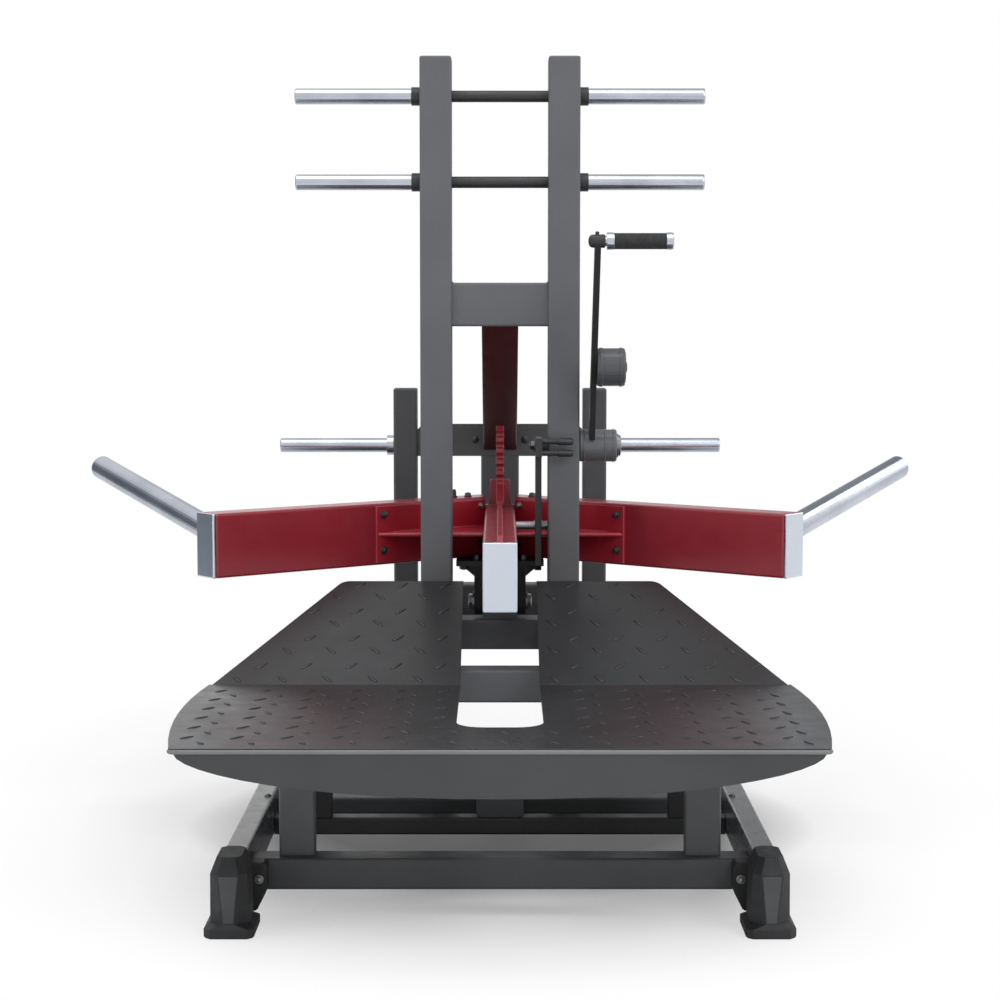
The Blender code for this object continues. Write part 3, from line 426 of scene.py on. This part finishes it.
def front_tread():
    """The tread on the flat plate, kept clear of the slot."""
    bm = bmesh.new()
    low = DECK_FRONT + TREAD_MARGIN
    high = BREAK_Y - BREAK_MARGIN
    for first_x, first_y, lean, length in FRONT_LUGS:
        for y in lattice(DECK_FRONT + first_y, FRONT_CELL[1], low, high):
            limit = deck_half(y) - TREAD_MARGIN
            for x in lattice(first_x, FRONT_CELL[0], -limit, limit):
                if abs(x) < SLOT_HALF + TREAD_MARGIN and y > SLOT_END - TREAD_MARGIN:
                    continue
                lug(bm, Matrix.Translation((x, y, DECK_TOP)), lean, length)
    piece(bm, "tread_front", TREAD, "frame")


def ramp_tread(side, name):
    """The tread on one ramp, which narrows to the rear."""
    bm = bmesh.new()
    length = (RAMP_REAR - BREAK_Y) / math.cos(SLOPE)
    turn = Matrix.Translation((0, BREAK_Y, DECK_TOP)) @ Matrix.Rotation(SLOPE, 4, "X")
    for first_x, first_y, lean, size in RAMP_LUGS:
        for along in lattice(first_y, RAMP_CELL[1], TREAD_MARGIN, length - TREAD_MARGIN):
            limit = RAMP_HALF + (RAMP_REAR_HALF - RAMP_HALF) * along / length - TREAD_MARGIN
            if along > length - CORNER_LENGTH:
                limit -= CORNER_WIDTH
            for x in lattice(first_x, RAMP_CELL[0], -limit, limit):
                if side * x < SLOT_HALF + TREAD_MARGIN:
                    continue
                lug(bm, turn @ Matrix.Translation((x, along, 0)), lean, size)
    piece(bm, name, TREAD, "frame")


front_tread()
ramp_tread(-1, "tread_ramp_left")
ramp_tread(1, "tread_ramp_right")


def tube_along(points, radius, name, mat, body):
    """A round bead along a line of points, as a mesh."""
    data = bpy.data.curves.new(name, "CURVE")
    data.dimensions = "3D"
    spline = data.splines.new("POLY")
    spline.points.add(len(points) - 1)
    for point, place in zip(spline.points, points):
        point.co = (*place, 1)
    data.bevel_depth = radius
    data.bevel_resolution = 3
    data.use_fill_caps = True
    holder = bpy.data.objects.new(name, data)
    bpy.context.scene.collection.objects.link(holder)
    bpy.context.view_layer.update()
    mesh = bpy.data.meshes.new_from_object(holder.evaluated_get(bpy.context.evaluated_depsgraph_get()))
    bpy.data.objects.remove(holder)
    bm = bmesh.new()
    bm.from_mesh(mesh)
    bpy.data.meshes.remove(mesh)
    piece(bm, name, mat, body, 60)


# The lip: half its straight part, the radius of the deck's corners, its own radius and how low it lies
LIP_HALF = 0.492
LIP_CORNER = 0.008
LIP_RADIUS = 0.0036
LIP_DROP = 0.0052


def deck_lip():
    """Rolled edge along the front of the deck and round its corners."""
    height = DECK_TOP - LIP_DROP
    left = []
    for degrees in (0, 22, 45, 68):
        a = math.radians(degrees)
        x = -LIP_HALF - LIP_CORNER * math.cos(a)
        left.append((x, DECK_FRONT + LIP_CORNER - LIP_CORNER * math.sin(a), height))
    front = [(-LIP_HALF + 2 * LIP_HALF * i / 12, DECK_FRONT, height) for i in range(13)]
    right = [(-x, y, z) for x, y, z in reversed(left)]
    tube_along(left + front + right, LIP_RADIUS, "deck_lip", LIP, "frame")


deck_lip()

# Weld beads: their radius, the length of a ripple and how far they stay from the ends of the seam
WELD_RADIUS = 0.0022
RIPPLE_LENGTH = 0.004
WELD_INSET = 0.004


def weld_line(name, start, end):
    """A weld bead with its row of small ripples."""
    start, end = Vector(start), Vector(end)
    length = (end - start).length
    steps = max(4, int(length / RIPPLE_LENGTH))
    profile = []
    for i in range(steps * 2 + 1):
        ripple = 1 + 0.16 * math.cos(math.pi * i)
        profile.append((WELD_RADIUS * ripple, length * i / (steps * 2)))
    bm = bmesh.new()
    turned(bm, profile, start, (end - start).normalized(), 8)
    piece(bm, name, GREY, "frame", 60)


# Welds where the crossbeam meets the uprights
beam_low, beam_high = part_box("crossbeam")
for word, x in (("left", beam_low.x), ("right", beam_high.x)):
    weld_line("weld_crossbeam_" + word, (x, beam_low.y, beam_low.z + WELD_INSET),
              (x, beam_low.y, beam_high.z - WELD_INSET))
    weld_line("weld_crossbeam_top_" + word, (x, beam_low.y + WELD_INSET, beam_high.z),
              (x, beam_high.y - WELD_INSET, beam_high.z))

# The brackets of the front shoes fill the space up to the front beam, but for a small gap at each end.
# Their outline gives x and z
SHOE_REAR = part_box("shoe_front_right")[1].y
FRONT_BEAM_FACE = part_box("front_beam")[0].y
BRACKET_OUTLINE = ((0.4195, 0.099), (0.394, 0.099), (0.3905, 0.095), (0.389, 0.09), (0.389, 0.054),
                   (0.3905, 0.048), (0.404, 0.021), (0.408, 0.018), (0.4195, 0.018))
BRACKET_GAP = 0.0005
# The gap between neighbours that touch on the real machine
GAP = 0.0003


def shoe_bracket(side, word):
    """Moulded lug between a front shoe and the end of the front beam, with its bolt."""
    face = SHOE_REAR + BRACKET_GAP
    bm = bmesh.new()
    rings = []
    for y in (face, FRONT_BEAM_FACE - GAP):
        rings.append([bm.verts.new((side * x, y, z)) for x, z in BRACKET_OUTLINE])
    skin(bm, rings)
    piece(bm, "shoe_bracket_" + word, RUBBER, "frame")
    bm = bmesh.new()
    hex_bolt(bm, (side * 0.4015, face, 0.071), FRONT, 0.0062, 0.005)
    piece(bm, "shoe_bracket_bolt_" + word, STEEL, "frame")


for word, side in SIDES:
    shoe_bracket(side, word)

# The panels of the shoes lie on faces that look straight enough to the front or rear, by the cosine, and
# that are above the foot. The edge of those faces stays free
PANEL_FACING = 0.93
PANEL_FOOT = 0.026
PANEL_INSET = 0.002
PANEL_THICKNESS = 0.0012


def shoe_panel(node, facing):
    """Raised panel on the outer face of a shoe, made from that face drawn in a little."""
    bm = bmesh.new()
    bm.from_mesh(NODES[node].data)
    bmesh.ops.remove_doubles(bm, verts=bm.verts[:], dist=0.00001)
    bm.normal_update()
    away = [face for face in bm.faces
            if face.normal.y * facing < PANEL_FACING or face.calc_center_median().z < PANEL_FOOT]
    bmesh.ops.delete(bm, geom=away, context="FACES")
    bmesh.ops.dissolve_limit(bm, angle_limit=math.radians(3), verts=bm.verts[:], edges=bm.edges[:])
    bmesh.ops.inset_region(bm, faces=bm.faces[:], thickness=PANEL_INSET, use_boundary=True,
                           use_even_offset=True)
    inner = [face for face in bm.faces if not any(edge.is_boundary for edge in face.edges)]
    outlines = [[vert.co.copy() for vert in face.verts] for face in inner]
    bm.clear()
    for outline in outlines:
        # Each outline starts at its lowest left corner, so that every run gives the same mesh
        first = outline.index(min(outline, key=lambda corner: (corner.z, corner.x)))
        outline = outline[first:] + outline[:first]
        rings = []
        for rise in (0, facing * PANEL_THICKNESS):
            rings.append([bm.verts.new(corner + Vector((0, rise, 0))) for corner in outline])
        skin(bm, rings)
    piece(bm, node + "_panel", SHOE_PANEL, "frame", 30)


for end, facing in (("front", -1), ("rear", 1)):
    for word in ("left", "right"):
        shoe_panel("shoe_" + end + "_" + word, facing)

# Bolts on top of the side beams and on the rear cross plate
side_low, side_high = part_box("side_beam_right")
bm = bmesh.new()
for x, y in ((0.4295, 0.008), ((side_low.x + side_high.x) / 2, 0.56)):
    for place in both_sides((x, y, side_high.z)):
        button_bolt(bm, place, UP, 0.0052)
piece(bm, "side_beam_bolts", BOLT_GREY, "frame")

bm = bmesh.new()
for place in both_sides((0.0528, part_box("rear_cross_plate")[0].y, 0.745)):
    button_bolt(bm, place, FRONT, 0.0062)
piece(bm, "rear_plate_bolts", BLACK, "frame")

# The lever's side arms run from a hub in the middle, at HUB_Y, outwards and to the front. The angle is the
# one between an arm and the middle plane, and the brackets lie against the arms' front faces
HUB_Y = 0.516
ANGLE = math.radians(52)
ALONG = Vector((math.sin(ANGLE), -math.cos(ANGLE), 0))
ACROSS = Vector((math.cos(ANGLE), math.sin(ANGLE), 0))
ARM_HALF = 0.03
BRACKET_THICKNESS = 0.006
HUB_FACE = -ARM_HALF - GAP - BRACKET_THICKNESS
ARM_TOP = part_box("side_arm_right")[1].z
# Distances of the bolts along the brackets, and their heights
HUB_NEAR = 0.078
HUB_FAR = 0.318
HUB_LOW = 0.5475
HUB_HIGH = 0.6175
HUB_CORNER = 0.6225


def on_hub(along, z, side):
    """A place on the front face of a bracket."""
    place = Vector((0, HUB_Y, z)) + ALONG * along + ACROSS * HUB_FACE
    return Vector((side * place.x, place.y, place.z))


# Three dark bolts and a bright one on each bracket
for word, side in SIDES:
    bm = bmesh.new()
    out = Vector((-ACROSS.x * side, -ACROSS.y, 0))
    for along, z in ((HUB_FAR, HUB_HIGH), (HUB_FAR, HUB_LOW), (HUB_NEAR, HUB_LOW)):
        hex_bolt(bm, on_hub(along, z, side), out, 0.0062, 0.005)
    piece(bm, "hub_bolts_" + word, BLACK, "lever")
    bm = bmesh.new()
    hex_bolt(bm, on_hub(HUB_NEAR, HUB_CORNER, side), out, 0.0055, 0.0055)
    piece(bm, "hub_corner_bolt_" + word, STEEL, "lever")

# The flat webs between the central arm and the brackets: their front edge, height and half thickness, and
# then the front end and the inner end of the noses before them
WEB_FRONT = 0.305
WEB_Z = 0.5785
WEB_HALF = 0.004
NOSE_FRONT = 0.2835
NOSE_INNER = 0.0306


def web_nose(side, word):
    """Rounded front of the flat web between the central arm and a bracket."""
    bend = NOSE_FRONT + WEB_HALF
    profile = [(WEB_FRONT - GAP, -WEB_HALF), (bend, -WEB_HALF)]
    for i in range(1, 8):
        a = math.radians(22.5 * i)
        profile.append((bend - WEB_HALF * math.sin(a), -WEB_HALF * math.cos(a)))
    profile += [(bend, WEB_HALF), (WEB_FRONT - GAP, WEB_HALF)]
    face = HUB_FACE - GAP
    outer = []
    for y, z in profile:
        run = (HUB_Y + ACROSS.y * face - y) / -ALONG.y
        outer.append(ALONG.x * run + ACROSS.x * face)
    bm = bmesh.new()
    rings = []
    for reach in ([NOSE_INNER] * len(profile), outer):
        rings.append([bm.verts.new((side * x, y, WEB_Z + z)) for x, (y, z) in zip(reach, profile)])
    skin(bm, rings)
    piece(bm, "web_nose_" + word, LIT_HUB_RED, "lever")


for word, side in SIDES:
    web_nose(side, word)

# Bolts on top of the side arms and of the lugs, and the stop pin on the left arm
lug_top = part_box("pivot_lug_right")[1].z
bm = bmesh.new()
for place in both_sides(Vector((0, HUB_Y, ARM_TOP)) + ALONG * 0.083):
    hex_bolt(bm, place, UP, 0.0062, 0.0055)
for place in both_sides((0.0465, 0.383, lug_top)):
    hex_bolt(bm, place, UP, 0.0068, 0.0095)
piece(bm, "arm_top_bolts", BOLT_GREY, "lever")

bm = bmesh.new()
stop = Vector((0, HUB_Y, ARM_TOP)) + ALONG * 0.118
turned(bm, [(0.0062, 0), (0.0062, 0.003), (0.0042, 0.004), (0.0042, 0.012), (0.0025, 0.0165)],
       (-stop.x, stop.y, stop.z), UP, 24)
piece(bm, "stop_pin", BLACK, "lever")

# Bolts under the flanges of the lugs
FLANGE_THICKNESS = 0.011
bm = bmesh.new()
for y in (0.386, 0.454):
    for place in both_sides((0.073, y, lug_top - FLANGE_THICKNESS)):
        hex_bolt(bm, place, DOWN, 0.0085, 0.006)
piece(bm, "lug_bolts", BOLT_GREY, "lever")

# Axes that run from side to side, each given by its y and z
LEVER_AXIS = (0.42, 0.43)
RELEASE_AXIS = (0.23, 0.757)
HANDLE_AXIS = (-0.03, 1.14)
CATCH_AXIS = (0.256, 0.600)

# Washers and nuts on both ends of the lever's shaft
bm = bmesh.new()
for side in (-1, 1):
    turned(bm, [(0.0132, 0), (0.019, 0), (0.019, 0.003), (0.0132, 0.003)],
           (side * 0.0522, *LEVER_AXIS), (side, 0, 0))
    turned(bm, [(0.0165, 0), (0.0165, 0.0068), (0.014, 0.008)],
           (side * 0.0556, *LEVER_AXIS), (side, 0, 0), 6)
piece(bm, "pivot_washers", STEEL, "frame")

# Release hub: washer and cap at its right end, bands round it and sleeves on the rods of the fork
bm = bmesh.new()
turned(bm, [(0.023, 0), (0.023, 0.003), (0.020, 0.004), (0.020, 0.007), (0.017, 0.0085)],
       (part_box("release_hub")[1].x, *RELEASE_AXIS), RIGHT)
piece(bm, "release_hub_ring", STEEL, "release")

bm = bmesh.new()
for x in (0.160, 0.200, 0.216):
    turned(bm, [(0.0312, 0), (0.0322, 0.0008), (0.0322, 0.0022), (0.0312, 0.003)],
           (x, *RELEASE_AXIS), RIGHT, 40)
piece(bm, "release_hub_bands", RELEASE_GREY, "release")

bm = bmesh.new()
for z in (0.746, 0.768):
    turned(bm, [(0.0054, 0), (0.0068, 0.0012), (0.0068, 0.0262), (0.0056, 0.028)],
           (0.110, 0.167, z), RIGHT, 24)
piece(bm, "fork_sleeves", BLACK, "release")

# Washer, nut and shaft end on the left face of the hook
hook_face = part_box("release_hook")[0].x
bm = bmesh.new()
turned(bm, [(0.0135, 0), (0.0135, 0.0016), (0.0128, 0.002)], (hook_face, *RELEASE_AXIS), LEFT, 28)
turned(bm, [(0.0098, 0), (0.0098, 0.0062), (0.0084, 0.0075)], (hook_face - 0.002, *RELEASE_AXIS), LEFT, 6)
turned(bm, [(0.0052, 0), (0.0052, 0.0022), (0.0044, 0.0028)], (hook_face - 0.0095, *RELEASE_AXIS), LEFT, 20)
piece(bm, "hook_nut", BOLT_GREY, "release")

# Domed nut, boss and nub on the head of the handle bar
bar_low, bar_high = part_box("handle_bar")
bm = bmesh.new()
turned(bm, [(0.0118, 0), (0.0118, 0.005), (0.0105, 0.008), (0.0075, 0.0105), (0.003, 0.0118)],
       (bar_low.x, *HANDLE_AXIS), LEFT, 24)
turned(bm, [(0.0122, 0), (0.0122, 0.006), (0.0105, 0.0078)], (bar_high.x, *HANDLE_AXIS), RIGHT, 24)
turned(bm, [(0.0036, 0), (0.0036, 0.0058), (0.0024, 0.0072)],
       (bar_low.x + 0.0042, HANDLE_AXIS[0], 1.1502), UP, 16)
piece(bm, "handle_knuckle", BLACK, "release")

# Rims near both ends of the counterweight, and a cap in the middle of its right end
weight_low, weight_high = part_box("counterweight")
WEIGHT_AXIS = ((weight_low.y + weight_high.y) / 2, (weight_low.z + weight_high.z) / 2)
bm = bmesh.new()
for x in (weight_low.x + 0.004, weight_high.x - 0.011):
    turned(bm, [(0.0352, 0), (0.0367, 0.0008), (0.0367, 0.0062), (0.0352, 0.007)],
           (x, *WEIGHT_AXIS), RIGHT, 48)
turned(bm, [(0.029, 0), (0.029, 0.0012), (0.027, 0.0016), (0.010, 0.0016), (0.009, 0.004), (0.006, 0.0046)],
       (weight_high.x, *WEIGHT_AXIS), RIGHT, 40)
piece(bm, "counterweight_rims", HUB_GREY, "release")

# Two rings and a nut on the catch pin
bm = bmesh.new()
for x in (0.0665, 0.0803):
    turned(bm, [(0.0105, 0), (0.0105, 0.0012), (0.0098, 0.0014)], (x, *CATCH_AXIS), RIGHT, 24)
turned(bm, [(0.0102, 0), (0.0102, 0.006), (0.009, 0.007)], (0.0880, *CATCH_AXIS), RIGHT, 6)
piece(bm, "catch_pin_nut", STEEL, "lever")

# Colours of the light that the camera, the plain surfaces and the dark sides get
WHITE = (1, 1, 1, 1)
SOFT_LIGHT = (0.97, 0.98, 1.0, 1)
DIM_LIGHT = (0.17, 0.19, 0.21, 1)

# The oval of painted shadow on the floor under the machine, and the wider one round which the floor fades to
# white
FLOOR_PAINTED_SHADOW = (-0.8, (2.4, 2.5, 1))
FLOOR_IN_VIEW = (-0.56, (1, 0.75, 1))
FLOOR_SIZE = 7
FLOOR_Z = -0.0005


def oval(look, shift, scale):
    """How far a point of the floor is from the middle of an oval, in scaled and shifted coordinates."""
    place = look.add("NewGeometry").outputs["Position"]
    moved = look.add("Mapping", Vector=place, Location=(0, shift, 0), Scale=scale)
    return look.operate("VectorMath", "LENGTH", moved.outputs["Vector"])


def floor_material():
    """Pale floor with a painted shadow under the machine, that fades to white where the camera sees it
    further off.
    """
    look = Material("studio_floor")
    pale = look.tones(look.noise(1.5, 2), "f8f7f6", "fcfbfa")
    painted_shadow = look.spread(oval(look, *FLOOR_PAINTED_SHADOW), 0, 1, 0.85, 1.5)
    # Painted shadow: the floor's colour goes to dark grey inside the oval under the machine.
    look.surface(Base_Color=look.mix(painted_shadow, linear("3a3b3d"), pale), Roughness=0.55)
    fade = look.spread(oval(look, *FLOOR_IN_VIEW), 0.1, 1, 0.7, 1.2)
    share = look.operate("Math", "MULTIPLY", look.seen(), fade)
    white = look.add("Emission", Color=WHITE)
    mixed = look.mix_shaders(share, look.shader.outputs[0], white.outputs[0])
    look.fill(look.tree.nodes["Material Output"], {"Surface": mixed})
    return look.mat


def sheet(name, mat, place, size):
    """A flat square sheet that belongs to the studio."""
    bpy.ops.mesh.primitive_plane_add(size=size, location=place)
    made = bpy.context.active_object
    made.name = name
    made.data.materials.append(mat)


sheet("floor", floor_material(), (0, 0, FLOOR_Z), FLOOR_SIZE)

# Where glossy surfaces see a darker studio: direction, range of cosines and share of the dark
DARK_SIDES = (((-0.93, 0.36, -0.03), 0.76, 0.93, 1.0), ((0.45, 0.75, 0.5), 0.82, 0.88, 0.8))


def studio():
    """White for the camera, white with two dark sides for glossy surfaces, and softer light for the rest."""
    world = bpy.data.worlds.new("studio")
    bpy.context.scene.world = world
    world.use_nodes = True
    sky = Tree(world.node_tree)
    soft = sky.tree.nodes["Background"]
    sky.fill(soft, {"Color": SOFT_LIGHT, "Strength": 0.74})
    white = sky.add("Background", Color=WHITE)
    dim = sky.add("Background", Color=DIM_LIGHT)
    around = sky.add("TexCoord").outputs["Generated"]
    shares = []
    for direction, low, high, most in DARK_SIDES:
        cosine = sky.operate("VectorMath", "DOT_PRODUCT", around, Vector(direction).normalized())
        shares.append(sky.spread(cosine, 0, most, low, high))
    mirrored = sky.mix_shaders(sky.operate("Math", "MAXIMUM", *shares), white.outputs[0], dim.outputs[0])
    seen = sky.seen()
    glossy = sky.add("LightPath").outputs["Is Glossy Ray"]
    bright = sky.operate("Math", "MAXIMUM", seen, glossy)
    lit = sky.mix_shaders(bright, soft.outputs[0], mirrored)
    final = sky.mix_shaders(seen, lit, white.outputs[0])
    sky.fill(sky.tree.nodes["World Output"], {"Surface": final})


# Lamps: name, place, target, width and height, and power
LAMPS = (
    ("key", (2.4, -3.2, 3.4), (0, 0, 0.6), (2.2, 1.6), 62),
    ("fill_left", (-3.4, -1.8, 1.6), (0, 0, 0.6), (0.9, 2.4), 16),
    ("rim_right", (3.2, 1.8, 2.4), (0, 0, 0.8), (0.8, 2.4), 26),
    ("overhead", (-0.4, -0.7, 4.0), (0, 0, 0.4), (2.8, 1.8), 44),
)


def lamp(name, place, target, size, power):
    """A rectangular area lamp that points at a target."""
    data = bpy.data.lights.new(name, "AREA")
    data.shape = "RECTANGLE"
    data.size, data.size_y = size
    data.energy = power
    made = bpy.data.objects.new(name, data)
    made.location = place
    made.rotation_euler = (Vector(target) - Vector(place)).to_track_quat("-Z", "Y").to_euler()
    bpy.context.scene.collection.objects.link(made)


studio()
for values in LAMPS:
    lamp(*values)

# The camera stands in front of the middle and looks down a little, as in the photo
CAMERA_PLACE = (0, -4.03, 1.010)
CAMERA_LENS = 79.67
CAMERA_PITCH = 4.81

data = bpy.data.cameras.new("camera")
data.sensor_width = 36
data.lens = CAMERA_LENS
data.clip_end = 200
camera = bpy.data.objects.new("camera", data)
camera.location = CAMERA_PLACE
camera.rotation_euler = (math.radians(90 - CAMERA_PITCH), 0, 0)
bpy.context.scene.collection.objects.link(camera)
bpy.context.scene.camera = camera

bpy.context.scene.view_settings.view_transform = "Standard"
